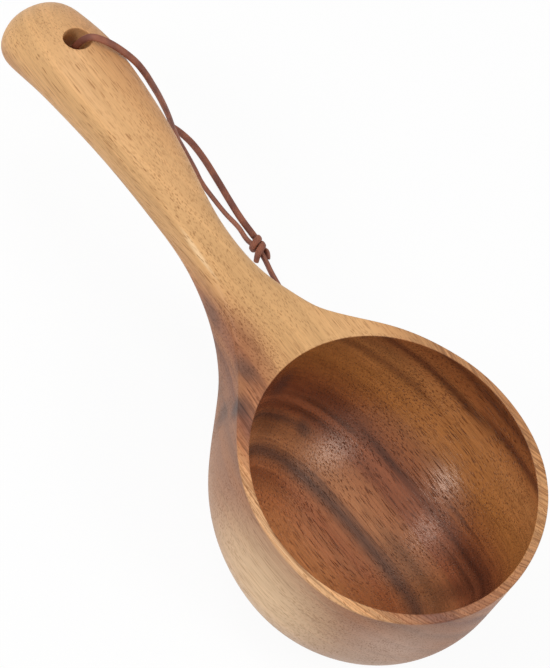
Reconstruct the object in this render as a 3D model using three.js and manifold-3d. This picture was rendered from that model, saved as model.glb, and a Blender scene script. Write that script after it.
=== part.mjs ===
// Wooden sauna ladle: one carved block with a bowl and a handle, and a knotted leather lace.
// Millimetres, +Z up. The origin is the middle of the bowl's foot, and the handle runs along -X.
import * as THREE from 'three';
import { ParametricGeometry } from 'three/addons/geometries/ParametricGeometry.js';
import { mergeVertices } from 'three/addons/utils/BufferGeometryUtils.js';
import Module from 'manifold-3d';

// Bowl
const RIM_RADIUS = 52;
const RIM_WIDTH = 3;
const RIM_SLOPE_DROP = 1.2;
const BOWL_HEIGHT = 57;
const FOOT_RADIUS = 38.5;
const FOOT_EDGE = 1.5;
const WALL_STRAIGHT = 30;
const KNUCKLE_PULL = 7.5;
const BASE_THICKNESS = 11;
const CAVITY_SQUARENESS = 2.3;

// Neck: how the handle flares into the bowl
const FLARE_ANGLE = 68;
const FLARE_PULL_BOWL = 39;
const FLARE_PULL_NECK = 54;
const FLARE_EDGE = 9;
const UNDERSIDE_DROP = 39;
const UNDERSIDE_BITE = 1.5;
const UNDERSIDE_PULL_BOWL = 13;
const UNDERSIDE_PULL_NECK = 10;
const LEDGE_WIDTH = 9;
const LEDGE_DROP = 1.3;
const LEDGE_FILLET = 14;
const LEDGE_FILLET_RISE = 1.2;
const EDGE_ROUNDING_LENGTH = 30;

// Handle: stations are measured on from the rim, and tops from the rim's inner edge
const NECK_LENGTH = 50;
const WAIST_WIDTH = 17.6;
const WAIST_DEPTH = 16;
const WAIST_TOP = 5.8;
const GRIP_LENGTH = 33;
const GRIP_WIDTH = 23.6;
const GRIP_DEPTH = 21;
const GRIP_TOP = 14.6;
const BUTT_LENGTH = 31;
const BUTT_WIDTH = 28;
const BUTT_DEPTH = 25;
const BUTT_TOP = 16.5;
const TIP_LENGTH = 29.5;
const TIP_ROUND = 14;
const TIP_DROOP = 7.5;
const RIM_SQUARENESS = 20;
const FLANK_SQUARENESS = 3.8;
const HANDLE_SQUARENESS = 2.5;
const TIP_SQUARENESS = 2.4;

// Hanging hole, drilled straight down through the handle
const HOLE_DIAMETER = 9;
const HOLE_FROM_TIP = 22.5;

// Leather lace, lying loose on the surface that the ladle stands on
const LACE_DIAMETER = 2.8;
const LACE_GAP = 0.3;
const LACE_MIDDLE = 61;
const KNOT_LENGTH = 8;
const KNOT_DIAMETER = 8.4;
const KNOT_TURN = -8;
const WRAP_SPACING = 2.9;
const KNOT_LEAD_HEIGHT = 3.4;
const STRAND_SPACING = 3.1;

// Facets
const BOWL_SEGMENTS = 64;
const CAVITY_STEPS = 12;
const SECTION_POINTS = 32;
const NECK_STEPS = 22;
const HANDLE_STEPS = 14;
const TIP_STEPS = 7;
const LACE_SIDES = 8;
const LACE_STEP = 4;

// Places that follow from the sizes
const cavityRadius = RIM_RADIUS - RIM_WIDTH;
const cavityDepth = BOWL_HEIGHT - BASE_THICKNESS;
const waistAt = RIM_RADIUS + NECK_LENGTH;
const gripAt = waistAt + GRIP_LENGTH;
const buttAt = gripAt + BUTT_LENGTH;
const tipAt = buttAt + TIP_LENGTH;
const holeAt = tipAt - HOLE_FROM_TIP;

const wasm = await Module();
wasm.setup();

// A closed three.js geometry as a solid that can be joined and cut.
function solid(geometry) {
  const bare = geometry.index ? geometry : geometry.clone();
  bare.deleteAttribute('normal');
  bare.deleteAttribute('uv');
  const merged = mergeVertices(bare, 1e-4);
  const corners = merged.index.array;
  const kept = [];
  for (let i = 0; i < corners.length; i += 3) {
    const [a, b, c] = corners.slice(i, i + 3);
    if (a !== b && b !== c && c !== a) kept.push(a, b, c);
  }
  return new wasm.Manifold(new wasm.Mesh({
    numProp: 3,
    vertProperties: new Float32Array(merged.attributes.position.array),
    triVerts: new Uint32Array(kept),
  }));
}

// The solid back as a three.js geometry.
function geometryOf(body) {
  const mesh = body.getMesh();
  const geometry = new THREE.BufferGeometry();
  geometry.setAttribute('position', new THREE.BufferAttribute(mesh.vertProperties, 3));
  geometry.setIndex(new THREE.BufferAttribute(mesh.triVerts, 1));
  geometry.computeVertexNormals();
  return geometry;
}

// The height of a curve, drawn from left to right, at one place along it.
function curveAt(curve, along) {
  let low = 0;
  let high = 1;
  for (let i = 0; i < 40; i += 1) {
    const middle = (low + high) / 2;
    if (curve.getPoint(middle).x < along) low = middle;
    else high = middle;
  }
  return curve.getPoint((low + high) / 2).y;
}

// A smooth run through knots, level at both ends.
function smoothRun(knots) {
  const places = knots.map((knot) => knot[0]);
  const values = knots.map((knot) => knot[1]);
  const run = new THREE.CubicInterpolant(places, values, 1);
  run.settings = { endingStart: THREE.ZeroSlopeEnding, endingEnd: THREE.ZeroSlopeEnding };
  return (along) => run.evaluate(along)[0];
}

// Turned about Z, because a lathe turns about Y.
function turned(profile) {
  return solid(new THREE.LatheGeometry(profile, BOWL_SEGMENTS).rotateX(Math.PI / 2));
}

// Bowl: a straight wall under the rim, then a soft knuckle down to the flat foot.
function bowlBlank() {
  const wallEnd = new THREE.Vector2(RIM_RADIUS, BOWL_HEIGHT - WALL_STRAIGHT);
  const footTop = new THREE.Vector2(FOOT_RADIUS + FOOT_EDGE, FOOT_EDGE);
  const knuckle = new THREE.QuadraticBezierCurve(
    footTop,
    new THREE.Vector2(RIM_RADIUS, BOWL_HEIGHT - WALL_STRAIGHT - KNUCKLE_PULL),
    wallEnd,
  );
  return turned([
    new THREE.Vector2(0, 0),
    new THREE.Vector2(FOOT_RADIUS, 0),
    ...knuckle.getPoints(10),
    new THREE.Vector2(RIM_RADIUS, BOWL_HEIGHT - RIM_SLOPE_DROP),
    new THREE.Vector2(cavityRadius, BOWL_HEIGHT),
    new THREE.Vector2(0, BOWL_HEIGHT),
  ]);
}

// Hollow of the bowl: a rounded dish that runs on above the rim, so that it cuts cleanly.
function bowlHollow() {
  const profile = [new THREE.Vector2(0, BOWL_HEIGHT - cavityDepth)];
  for (let i = 1; i <= CAVITY_STEPS; i += 1) {
    const turn = (Math.PI / 2) * (i / CAVITY_STEPS);
    const out = Math.sin(turn) ** (2 / CAVITY_SQUARENESS);
    const down = Math.cos(turn) ** (2 / CAVITY_SQUARENESS);
    profile.push(new THREE.Vector2(cavityRadius * out, BOWL_HEIGHT - cavityDepth * down));
  }
  profile.push(new THREE.Vector2(cavityRadius, BOWL_HEIGHT + RIM_RADIUS));
  profile.push(new THREE.Vector2(0, BOWL_HEIGHT + RIM_RADIUS));
  return turned(profile);
}

// Half width, top and underside of the handle at a distance from the bowl's axis.
const flareStart = THREE.MathUtils.degToRad(FLARE_ANGLE);
const flareAt = RIM_RADIUS * Math.cos(flareStart);
const flareCurve = new THREE.CubicBezierCurve(
  new THREE.Vector2(flareAt, RIM_RADIUS * Math.sin(flareStart)),
  new THREE.Vector2(
    flareAt + FLARE_PULL_BOWL * Math.sin(flareStart),
    RIM_RADIUS * Math.sin(flareStart) - FLARE_PULL_BOWL * Math.cos(flareStart),
  ),
  new THREE.Vector2(waistAt - FLARE_PULL_NECK, WAIST_WIDTH / 2),
  new THREE.Vector2(waistAt, WAIST_WIDTH / 2),
);
const undersideStart = RIM_RADIUS - UNDERSIDE_BITE;
const undersideCurve = new THREE.CubicBezierCurve(
  new THREE.Vector2(undersideStart, -UNDERSIDE_DROP),
  new THREE.Vector2(RIM_RADIUS, UNDERSIDE_PULL_BOWL - UNDERSIDE_DROP),
  new THREE.Vector2(waistAt - UNDERSIDE_PULL_NECK, WAIST_TOP - WAIST_DEPTH),
  new THREE.Vector2(waistAt, WAIST_TOP - WAIST_DEPTH),
);
const handleWidth = smoothRun([
  [waistAt, WAIST_WIDTH / 2],
  [gripAt, GRIP_WIDTH / 2],
  [buttAt, BUTT_WIDTH / 2],
  [tipAt, BUTT_WIDTH / 2],
]);
const handleTop = smoothRun([
  [flareAt, -LEDGE_DROP],
  [RIM_RADIUS, -LEDGE_DROP],
  [cavityRadius + LEDGE_WIDTH, -LEDGE_DROP],
  [cavityRadius + LEDGE_WIDTH + LEDGE_FILLET, LEDGE_FILLET_RISE],
  [waistAt, WAIST_TOP],
  [gripAt, GRIP_TOP],
  [buttAt, BUTT_TOP],
  [tipAt, BUTT_TOP - TIP_DROOP],
]);
const handleUnder = smoothRun([
  [waistAt, WAIST_TOP - WAIST_DEPTH],
  [gripAt, GRIP_TOP - GRIP_DEPTH],
  [buttAt, BUTT_TOP - BUTT_DEPTH],
  [tipAt, BUTT_TOP - BUTT_DEPTH - TIP_DROOP],
]);

// Under the flare the skin fades out along the bowl's wall, and beyond it follows the curve.
function undersideAt(along) {
  if (along >= waistAt) return handleUnder(along);
  if (along >= undersideStart) return curveAt(undersideCurve, along);
  const share = Math.sqrt((along - flareAt) / (undersideStart - flareAt));
  return -THREE.MathUtils.lerp(FLARE_EDGE, UNDERSIDE_DROP, share);
}

function sectionAt(along) {
  const topBlend = THREE.MathUtils.smoothstep(along, RIM_RADIUS, RIM_RADIUS + EDGE_ROUNDING_LENGTH);
  const flankBlend = THREE.MathUtils.smoothstep(along, RIM_RADIUS, waistAt);
  return {
    halfWidth: along < waistAt ? curveAt(flareCurve, along) : handleWidth(along),
    top: BOWL_HEIGHT + handleTop(along),
    under: BOWL_HEIGHT + undersideAt(along),
    topSquareness: THREE.MathUtils.lerp(RIM_SQUARENESS, HANDLE_SQUARENESS, topBlend),
    flankSquareness: THREE.MathUtils.lerp(FLANK_SQUARENESS, HANDLE_SQUARENESS, flankBlend),
  };
}

// Distances along the handle at which a section is taken, closer together at the round tip.
const stations = [];
for (let i = 0; i <= NECK_STEPS; i += 1) {
  stations.push(THREE.MathUtils.lerp(flareAt, waistAt, i / NECK_STEPS));
}
for (let i = 1; i <= HANDLE_STEPS; i += 1) {
  stations.push(THREE.MathUtils.lerp(waistAt, tipAt - TIP_ROUND, i / HANDLE_STEPS));
}
for (let i = 1; i <= TIP_STEPS; i += 1) {
  stations.push(tipAt - TIP_ROUND + TIP_ROUND * Math.sin((Math.PI / 2) * (i / TIP_STEPS)));
}

const power = (value, exponent) => Math.sign(value) * Math.abs(value) ** exponent;

// A point of the handle's skin. The first section and the last one close to a point.
function handlePoint(around, alongShare, target) {
  const index = Math.round(alongShare * (stations.length - 1));
  const along = stations[index];
  const { halfWidth, top, under, topSquareness, flankSquareness } = sectionAt(along);
  const intoTip = Math.max(0, (along - tipAt + TIP_ROUND) / TIP_ROUND);
  let size = Math.sqrt(Math.max(0, 1 - intoTip ** TIP_SQUARENESS));
  if (index === 0 || index === stations.length - 1) size = 0;
  const turn = -2 * Math.PI * (around % 1);
  const squareness = Math.sin(turn) > 0 ? topSquareness : flankSquareness;
  const side = power(Math.cos(turn), 2 / squareness) * size;
  const rise = power(Math.sin(turn), 2 / squareness) * size;
  const middle = (top + under) / 2;
  target.set(-along, halfWidth * side, middle + ((top - under) / 2) * rise);
}

function handleBlank() {
  return solid(new ParametricGeometry(handlePoint, SECTION_POINTS, stations.length - 1));
}

function hangingHole() {
  const length = 2 * (BOWL_HEIGHT + BUTT_TOP);
  const drill = new THREE.CylinderGeometry(HOLE_DIAMETER / 2, HOLE_DIAMETER / 2, length, 20);
  return solid(drill.rotateX(Math.PI / 2).translate(-holeAt, 0, 0));
}

// Lace routes: hand-chosen points, measured in plan from the hole and up from the standing surface.
const UPPER_ROUTE = [
  [0.3, 0.4, 66], [1.2, 1.4, 72], [2.9, 2.9, 75.2], [6.0, 5.2, 75.7], [9.9, 8.3, 74.4],
  [15.4, 12.9, 70.2], [19.2, 16.0, 65.6], [22.2, 19.0, 60], [24.9, 22.7, 53], [28.5, 26.9, 44],
  [33.3, 33.9, 28], [37.5, 37.8, 20], [42.0, 41.0, 13], [46.0, 43.2, 7.5], [51.8, 45.3, 3.6],
  [58.2, 46.2, 2.2], [64.5, 46.6, 2.5],
];
const LOWER_ROUTE = [
  [0.3, 0.8, 54], [0.7, 1.7, 46.5], [1.7, 4.5, 39.5], [4.1, 11.4, 30], [7.6, 21, 19.5],
  [11, 31.5, 9], [15.2, 43, 2.8], [21.0, 51.0, 1.5], [28.5, 53.6, 1.5], [36.2, 53.8, 1.5],
  [46.4, 52.5, 1.5], [54.5, 51.2, 1.5], [62.0, 49.9, 2.0],
];
const KNOT_PLACE = [74.6, 46.5];
const LONG_TAIL = [[83.6, 46.8, 2.1], [88.5, 46.3, 1.5], [93.5, 45.4, 1.5]];
const SHORT_TAIL = [[82.4, 42.4, 2.0]];

const hole = new THREE.Vector3(-holeAt, 0, 0);
const knotTurn = THREE.MathUtils.degToRad(KNOT_TURN);
const knotAlong = new THREE.Vector3(Math.cos(knotTurn), Math.sin(knotTurn), 0);
const knotAcross = new THREE.Vector3(-Math.sin(knotTurn), Math.cos(knotTurn), 0);
const knotCentre = new THREE.Vector3(...KNOT_PLACE, KNOT_DIAMETER / 2).add(hole);

// Two points straight out of the knot's flat end, where a strand or a tail meets it face to face.
function knotLead(side, across) {
  return [0, LACE_DIAMETER / 2].map((out) => knotCentre.clone()
    .addScaledVector(knotAlong, side * (KNOT_LENGTH / 2 + LACE_GAP + out))
    .addScaledVector(knotAcross, across)
    .setZ(KNOT_LEAD_HEIGHT));
}

function routeFromHole(points) {
  return points.map((point) => new THREE.Vector3(...point).add(hole));
}

// Round strand along a smooth route, with flat ends.
function strand(points) {
  const route = new THREE.CatmullRomCurve3(points, false, 'centripetal');
  const section = new THREE.Shape();
  for (let i = 0; i < LACE_SIDES; i += 1) {
    const turn = (2 * Math.PI * i) / LACE_SIDES;
    const corner = [(LACE_DIAMETER / 2) * Math.cos(turn), (LACE_DIAMETER / 2) * Math.sin(turn)];
    if (i === 0) section.moveTo(...corner);
    else section.lineTo(...corner);
  }
  const steps = Math.max(3, Math.round(route.getLength() / LACE_STEP));
  return geometryOf(solid(new THREE.ExtrudeGeometry(section, { steps, extrudePath: route })));
}

// Knot: both strands through a core, with two turns of the lace round it.
function knot() {
  const coreRadius = KNOT_DIAMETER / 2 - LACE_DIAMETER / 2;
  const core = new THREE.CylinderGeometry(coreRadius, coreRadius, KNOT_LENGTH, 16);
  let tied = solid(core.rotateZ(Math.PI / 2));
  for (const place of [-0.5, 0.5]) {
    const wrap = new THREE.TorusGeometry(coreRadius, LACE_DIAMETER / 2, LACE_SIDES, 20);
    tied = tied.add(solid(wrap.rotateY(Math.PI / 2).translate(place * WRAP_SPACING, 0, 0)));
  }
  return geometryOf(tied).rotateZ(knotTurn).translate(...knotCentre.toArray());
}

const wood = new THREE.MeshStandardMaterial({ color: 0xc79a68, roughness: 0.5, metalness: 0 });
const leather = new THREE.MeshStandardMaterial({ color: 0x7a4a3a, roughness: 0.7, metalness: 0 });

const ladle = new THREE.Group();

function add(name, geometry, material) {
  const mesh = new THREE.Mesh(geometry, material.clone());
  mesh.name = name;
  ladle.add(mesh);
}

const body = bowlBlank().add(handleBlank()).subtract(bowlHollow()).subtract(hangingHole());
add('ladle_body', geometryOf(body), wood);

add('lace_upper_strand', strand([
  new THREE.Vector3(0, 0, LACE_MIDDLE + LACE_GAP / 2).add(hole),
  ...routeFromHole(UPPER_ROUTE),
  ...knotLead(-1, -STRAND_SPACING / 2).reverse(),
]), leather);
add('lace_lower_strand', strand([
  new THREE.Vector3(0, 0, LACE_MIDDLE - LACE_GAP / 2).add(hole),
  ...routeFromHole(LOWER_ROUTE),
  ...knotLead(-1, STRAND_SPACING / 2).reverse(),
]), leather);
add('lace_knot', knot(), leather);
add('lace_long_tail', strand([
  ...knotLead(1, STRAND_SPACING / 2),
  ...routeFromHole(LONG_TAIL),
]), leather);
add('lace_short_tail', strand([
  ...knotLead(1, -STRAND_SPACING / 2),
  ...routeFromHole(SHORT_TAIL),
]), leather);

export default ladle;
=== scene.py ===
# %% [markdown]
# # A wooden sauna ladle
# This lesson dresses a carved ladle that was first built as plain solids. The ladle is one block of
# streaky hardwood: a deep round bowl, a neck that flares into it and an arched handle with a hole.
# A leather lace goes through the hole and is tied in a knot. We keep every solid where it is, model a
# smooth skin over the wood and the lace, and then spend our time on the finish.

# %% Load the frame
import math

import bmesh
import bpy
from mathutils import Matrix, Vector
from mathutils.geometry import interpolate_bezier


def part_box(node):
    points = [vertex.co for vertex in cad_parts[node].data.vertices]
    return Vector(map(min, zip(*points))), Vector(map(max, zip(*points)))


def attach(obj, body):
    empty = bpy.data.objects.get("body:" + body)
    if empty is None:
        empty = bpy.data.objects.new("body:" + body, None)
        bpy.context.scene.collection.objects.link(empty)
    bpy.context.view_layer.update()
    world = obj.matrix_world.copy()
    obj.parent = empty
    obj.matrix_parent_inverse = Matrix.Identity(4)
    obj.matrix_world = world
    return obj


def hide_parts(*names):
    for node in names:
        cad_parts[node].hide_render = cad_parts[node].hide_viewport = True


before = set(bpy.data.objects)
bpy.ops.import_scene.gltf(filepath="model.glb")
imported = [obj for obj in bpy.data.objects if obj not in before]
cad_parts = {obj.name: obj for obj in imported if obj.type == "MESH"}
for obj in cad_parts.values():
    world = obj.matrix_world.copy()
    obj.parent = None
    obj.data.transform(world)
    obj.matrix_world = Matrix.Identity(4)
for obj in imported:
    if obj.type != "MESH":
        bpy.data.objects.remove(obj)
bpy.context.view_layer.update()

# %% [markdown]
# ## The camera
# The photograph looks down into the bowl with a long lens, and the camera is rolled so that the handle
# rises to the upper left. A look-at constraint would keep the horizon level, so the three axes of the
# camera are worked out here: back towards the camera, then level and rise, then both turned by the roll.

# %% Camera at the photograph's angle
PHOTO_HEIGHT = 668
FOCAL_PIXELS = 4708.3
SENSOR_SIZE = 36.0
AZIMUTH = math.radians(18.8)
ELEVATION = math.radians(56.79)
ROLL = math.radians(35.29)
CAMERA_DISTANCE = 1.5
AIM = Vector((-0.0576, -0.0072, 0.0647))

camera_back = Vector((
    math.sin(AZIMUTH) * math.cos(ELEVATION),
    -math.cos(AZIMUTH) * math.cos(ELEVATION),
    math.sin(ELEVATION),
))
level = Vector((math.cos(AZIMUTH), math.sin(AZIMUTH), 0.0))
rise = camera_back.cross(level)
camera_right = level * math.cos(ROLL) + rise * math.sin(ROLL)
camera_up = rise * math.cos(ROLL) - level * math.sin(ROLL)

camera_data = bpy.data.cameras.new("camera")
camera_data.sensor_width = SENSOR_SIZE
camera_data.lens = FOCAL_PIXELS / PHOTO_HEIGHT * SENSOR_SIZE
camera_data.clip_start = 0.05
camera = bpy.data.objects.new("camera", camera_data)
camera_turn = Matrix((camera_right, camera_up, camera_back)).transposed().to_4x4()
camera.matrix_world = Matrix.Translation(AIM + camera_back * CAMERA_DISTANCE) @ camera_turn
bpy.context.scene.collection.objects.link(camera)
bpy.context.scene.camera = camera
print("lens:", round(camera_data.lens, 1), "mm")

# %% [markdown]
# ## Helpers for meshes
# Each piece is modelled in millimetres, which are easy to think in, and is scaled to metres when it
# becomes an object. The object itself stays at the origin, unturned and unscaled.

# %% From a bmesh to an object
MM = 0.001
MERGE_DISTANCE = 0.001


def finished(bm, name, levels):
    """Merge, turn the faces outwards, scale to metres and link the result as a smoothed object."""
    bmesh.ops.remove_doubles(bm, verts=bm.verts, dist=MERGE_DISTANCE)
    bmesh.ops.recalc_face_normals(bm, faces=bm.faces)
    bmesh.ops.scale(bm, vec=(MM, MM, MM), verts=bm.verts)
    mesh = bpy.data.meshes.new(name)
    bm.to_mesh(mesh)
    bm.free()
    mesh.shade_smooth()
    piece = bpy.data.objects.new(name, mesh)
    bpy.context.scene.collection.objects.link(piece)
    smoothing = piece.modifiers.new("smoothing", "SUBSURF")
    smoothing.levels = levels
    smoothing.render_levels = levels
    print(name, "has", len(mesh.polygons), "faces before smoothing")
    return piece


# %% [markdown]
# ## The lace
# The lace is one leather thong, 2.4 mm wide and a little thinner than it is wide. One half comes up out
# of the hole, over the far edge of the handle and down to the table. The other half drops out of the
# underside. Both lie on the table and meet in a knot. A curve with a bevel would make a round tube, but
# the thong has flat faces and slowly turns over, so a small rounded section is extruded along the route
# ring by ring, and each new ring is carried to its own frame.

# %% A smooth route through given points
ROUTE_STEP = 1.1
LEAST_STEPS = 2


def smooth_route(points):
    """Points about a millimetre apart on a smooth curve through the given ones."""
    points = [Vector(point) for point in points]
    tangents = []
    for index in range(len(points)):
        before = points[max(index - 1, 0)]
        after = points[min(index + 1, len(points) - 1)]
        tangents.append((after - before).normalized())
    route = [points[0]]
    for index in range(len(points) - 1):
        start = points[index]
        end = points[index + 1]
        span = (end - start).length
        steps = max(LEAST_STEPS, round(span / ROUTE_STEP))
        reach = span / 3
        handle_out = start + tangents[index] * reach
        handle_in = end - tangents[index + 1] * reach
        route += interpolate_bezier(start, handle_out, handle_in, end, steps + 1)[1:]
    return route


def route_length(route):
    return sum((b - a).length for a, b in zip(route, route[1:]))


# %% A thong along a route
LACE_WIDTH = 2.4
LACE_THICKNESS = 1.7
SECTION_CORNERS = 12
SECTION_SQUARENESS = 3.2
CUT_INSET = 0.35
CUT_BULGE = 0.12


def thong_section(bm):
    """A ring of vertices in the XY plane: a rectangle with well-rounded corners."""
    made = bmesh.ops.create_circle(bm, segments=SECTION_CORNERS, radius=1.0)
    for vert in made["verts"]:
        turn = math.atan2(vert.co.y, vert.co.x)
        wide = abs(math.cos(turn)) ** SECTION_SQUARENESS
        high = abs(math.sin(turn)) ** SECTION_SQUARENESS
        reach = (wide + high) ** (-1 / SECTION_SQUARENESS)
        vert.co.x = math.cos(turn) * reach * LACE_WIDTH / 2
        vert.co.y = math.sin(turn) * reach * LACE_THICKNESS / 2
    return made["verts"]


def route_frames(route, flat, twist, core):
    """A frame at every point: Z along the route, X across the thong's flat face, slowly turning.
    Round a core, which is a point and a direction, the flat face always faces away from it."""
    ahead = (route[1] - route[0]).normalized()
    across = (flat - ahead * flat.dot(ahead)).normalized()
    frames = []
    for index, point in enumerate(route):
        before = route[max(index - 1, 0)]
        after = route[min(index + 1, len(route) - 1)]
        following = (after - before).normalized()
        across = ahead.rotation_difference(following) @ across
        ahead = following
        if core:
            from_core = point - core[0]
            outward = from_core - core[1] * from_core.dot(core[1])
            across = ahead.cross(outward).normalized()
        turned = Matrix.Rotation(math.radians(twist) * index / (len(route) - 1), 3, ahead) @ across
        axes = Matrix((turned, ahead.cross(turned), ahead)).transposed().to_4x4()
        frames.append(Matrix.Translation(point) @ axes)
    return frames


def extruded(bm, edges):
    """Extrude a loop of edges, and give the vertices and the edges of the new loop."""
    made = bmesh.ops.extrude_edge_only(bm, edges=edges)["geom"]
    ring = [item for item in made if isinstance(item, bmesh.types.BMVert)]
    new_edges = [item for item in made if isinstance(item, bmesh.types.BMEdge)]
    return ring, [edge for edge in new_edges if all(vert in ring for vert in edge.verts)]


def add_thong(bm, route, flat, twist, core):
    """Extrude the thong's section along a route, with a slightly rounded cut at both ends."""
    side_layer = bm.verts.layers.float.get("side") or bm.verts.layers.float.new("side")
    frames = route_frames(route, flat, twist, core)
    ring = thong_section(bm)
    for vert in ring:
        vert[side_layer] = math.atan2(vert.co.y, vert.co.x)
    first_cap = bm.faces.new(ring)
    edges = list(first_cap.edges)
    bmesh.ops.transform(bm, matrix=frames[0], verts=ring)
    for index in range(1, len(frames)):
        ring, edges = extruded(bm, edges)
        step = frames[index] @ frames[index - 1].inverted()
        bmesh.ops.transform(bm, matrix=step, verts=ring)
    last_cap = bmesh.ops.contextual_create(bm, geom=edges)["faces"]
    for cap in [first_cap, *last_cap]:
        bmesh.ops.inset_individual(bm, faces=[cap], thickness=CUT_INSET, depth=CUT_BULGE)


# %% [markdown]
# ### Where the two halves run
# The points below are given in millimetres from the hole's centre and up from the table. The
# upper half goes straight on through the knot and comes out as the long tail. The lower half ends where
# the knot begins.

# %% Routes of the two halves
HOLE_AT = 173.0
LACE_MIDDLE = 61.0
LACE_GAP = 0.3
KNOT_FROM_HOLE = (74.6, 46.5)
KNOT_TURN = math.radians(-8)
KNOT_LENGTH = 8.0
KNOT_HEIGHT = 4.2
KNOT_CORE_DIP = 0.2
KNOT_LEAD_HEIGHT = 3.4
STRAND_SPACING = 3.1
TAIL_OFFSET = 0.3

UPPER_ROUTE = [
    (0.3, 0.4, 66), (1.2, 1.4, 72), (2.9, 2.9, 75.2), (6.0, 5.2, 75.7), (9.9, 8.3, 74.4),
    (15.4, 12.9, 70.2), (19.2, 16.0, 65.6), (22.2, 19.0, 60), (24.9, 22.7, 53), (28.5, 26.9, 44),
    (33.3, 33.9, 28), (37.5, 37.8, 20), (42.0, 41.0, 13), (46.0, 43.2, 7.5), (51.8, 45.3, 3.6),
    (58.2, 46.2, 2.2), (64.5, 46.6, 2.5),
]
LOWER_ROUTE = [
    (0.3, 0.8, 54), (0.7, 1.7, 46.5), (1.7, 4.5, 39.5), (4.1, 11.4, 30), (7.6, 21, 19.5),
    (11, 31.5, 9), (15.2, 43, 2.8), (21.0, 51.0, 1.5), (28.5, 53.6, 1.5), (36.2, 53.8, 1.5),
    (46.4, 52.5, 1.5), (54.5, 51.2, 1.5), (62.0, 49.9, 2.0),
]
LONG_TAIL = [(83.6, 45.7, 2.1), (88.5, 45.1, 1.5), (93.5, 44.2, 1.5)]

hole = Vector((-HOLE_AT, 0.0, 0.0))
knot_centre = hole + Vector((*KNOT_FROM_HOLE, KNOT_HEIGHT))
knot_along = Vector((math.cos(KNOT_TURN), math.sin(KNOT_TURN), 0.0))
knot_across = Vector((-math.sin(KNOT_TURN), math.cos(KNOT_TURN), 0.0))


def by_knot(along, across, height):
    """A point given along the knot, across it and up from the table."""
    point = knot_centre + knot_along * along + knot_across * across
    return Vector((point.x, point.y, height))


def from_hole(points):
    return [hole + Vector(point) for point in points]


knot_end = KNOT_LENGTH / 2 + LACE_GAP
upper_route = smooth_route([
    hole + Vector((0, 0, LACE_MIDDLE + LACE_GAP / 2)),
    *from_hole(UPPER_ROUTE),
    by_knot(-knot_end, -STRAND_SPACING / 2, KNOT_LEAD_HEIGHT),
    by_knot(0, -KNOT_CORE_DIP, KNOT_HEIGHT - KNOT_CORE_DIP),
    by_knot(knot_end, TAIL_OFFSET, KNOT_LEAD_HEIGHT),
    *from_hole(LONG_TAIL),
])
lower_route = smooth_route([
    hole + Vector((0, 0, LACE_MIDDLE - LACE_GAP / 2)),
    *from_hole(LOWER_ROUTE),
    by_knot(-knot_end, STRAND_SPACING / 2, KNOT_LEAD_HEIGHT),
])
print("upper half:", round(route_length(upper_route), 1), "mm")
print("lower half:", round(route_length(lower_route), 1), "mm")

# %% [markdown]
# ### The knot
# In the knot the lower half crosses over the upper one twice, side by side, and leaves as a short stub,
# and a loop bulges out beside the long tail. A real knot could be simulated, but turns round the straight
# core give the same rounded bands. Each winding goes from one angle round the core to another, and moves
# along it meanwhile.

# %% Two crossings, a stub and a loop
KNOT_LEAD = 1.2
WIND_RADIUS = 2.0
WIND_STEP = 20
WINDINGS = [(-30, -3.9), (0, -3.2), (180, -0.9), (360, -0.8), (540, 2.6)]
STUB = [(2.9, -2.3, 3.9), (3.9, -2.9, 2.7)]
LOOP = [(-1.6, 0.4, 1.6), (0.0, 1.7, 2.0), (1.6, 2.5, 3.0), (3.0, 2.2, 3.2), (4.4, 1.4, 2.6)]


def knot_route():
    """The lower half's way through the knot: in, round the core and out as the stub."""
    points = [by_knot(-knot_end - KNOT_LEAD, STRAND_SPACING / 2, KNOT_LEAD_HEIGHT)]
    for (start, low), (end, high) in zip(WINDINGS, WINDINGS[1:]):
        for turn in range(start, end, WIND_STEP):
            along = low + (high - low) * (turn - start) / (end - start)
            across = WIND_RADIUS * math.cos(math.radians(turn))
            height = KNOT_HEIGHT + WIND_RADIUS * math.sin(math.radians(turn))
            points.append(by_knot(along, across, height))
    points += [by_knot(*place) for place in STUB]
    return smooth_route(points)


# %% Lace pieces
UP = Vector((0, 0, 1))
ALONG_HANDLE = Vector((1, 0, 0))


def lace_piece(name, routes, flat, twist, core=None):
    """One object with a thong along each route, turned over by a twist in degrees."""
    bm = bmesh.new()
    for route in routes:
        add_thong(bm, route, flat, twist, core)
    return finished(bm, name, levels=1)


loop_route = smooth_route([by_knot(*place) for place in LOOP])
upper_lace = lace_piece("upper_lace", [upper_route], ALONG_HANDLE, twist=-120)
lower_lace = lace_piece("lower_lace", [lower_route], ALONG_HANDLE, twist=60)
knot_core = (knot_centre, knot_along)
knot_lace = lace_piece("knot_lace", [knot_route(), loop_route], UP, twist=0, core=knot_core)

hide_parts("lace_upper_strand", "lace_long_tail")
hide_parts("lace_lower_strand")
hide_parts("lace_knot", "lace_short_tail")
for piece in (upper_lace, lower_lace, knot_lace):
    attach(piece, "lace")


def in_metres(route):
    return [point * MM for point in route]


upper_route[0] * MM
route_length(upper_route) * MM
in_metres(upper_route)
lower_route[0] * MM
route_length(lower_route) * MM
in_metres(lower_route)

# %% [markdown]
# ## The ladle's skin
# The wooden body is one block with no joint anywhere, so its skin is one mesh too. We could join a bowl
# and a handle with a boolean, but then the seam between them would show as a crease. A subdivision
# surface over one coarse cage flows from the bowl into the neck by itself. The bowl is a profile spun
# about its axis, its wall is pulled out into the flare, and an opening is cut in it. The rim of that
# opening is then extruded, station by station, down the handle to its round end.

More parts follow.
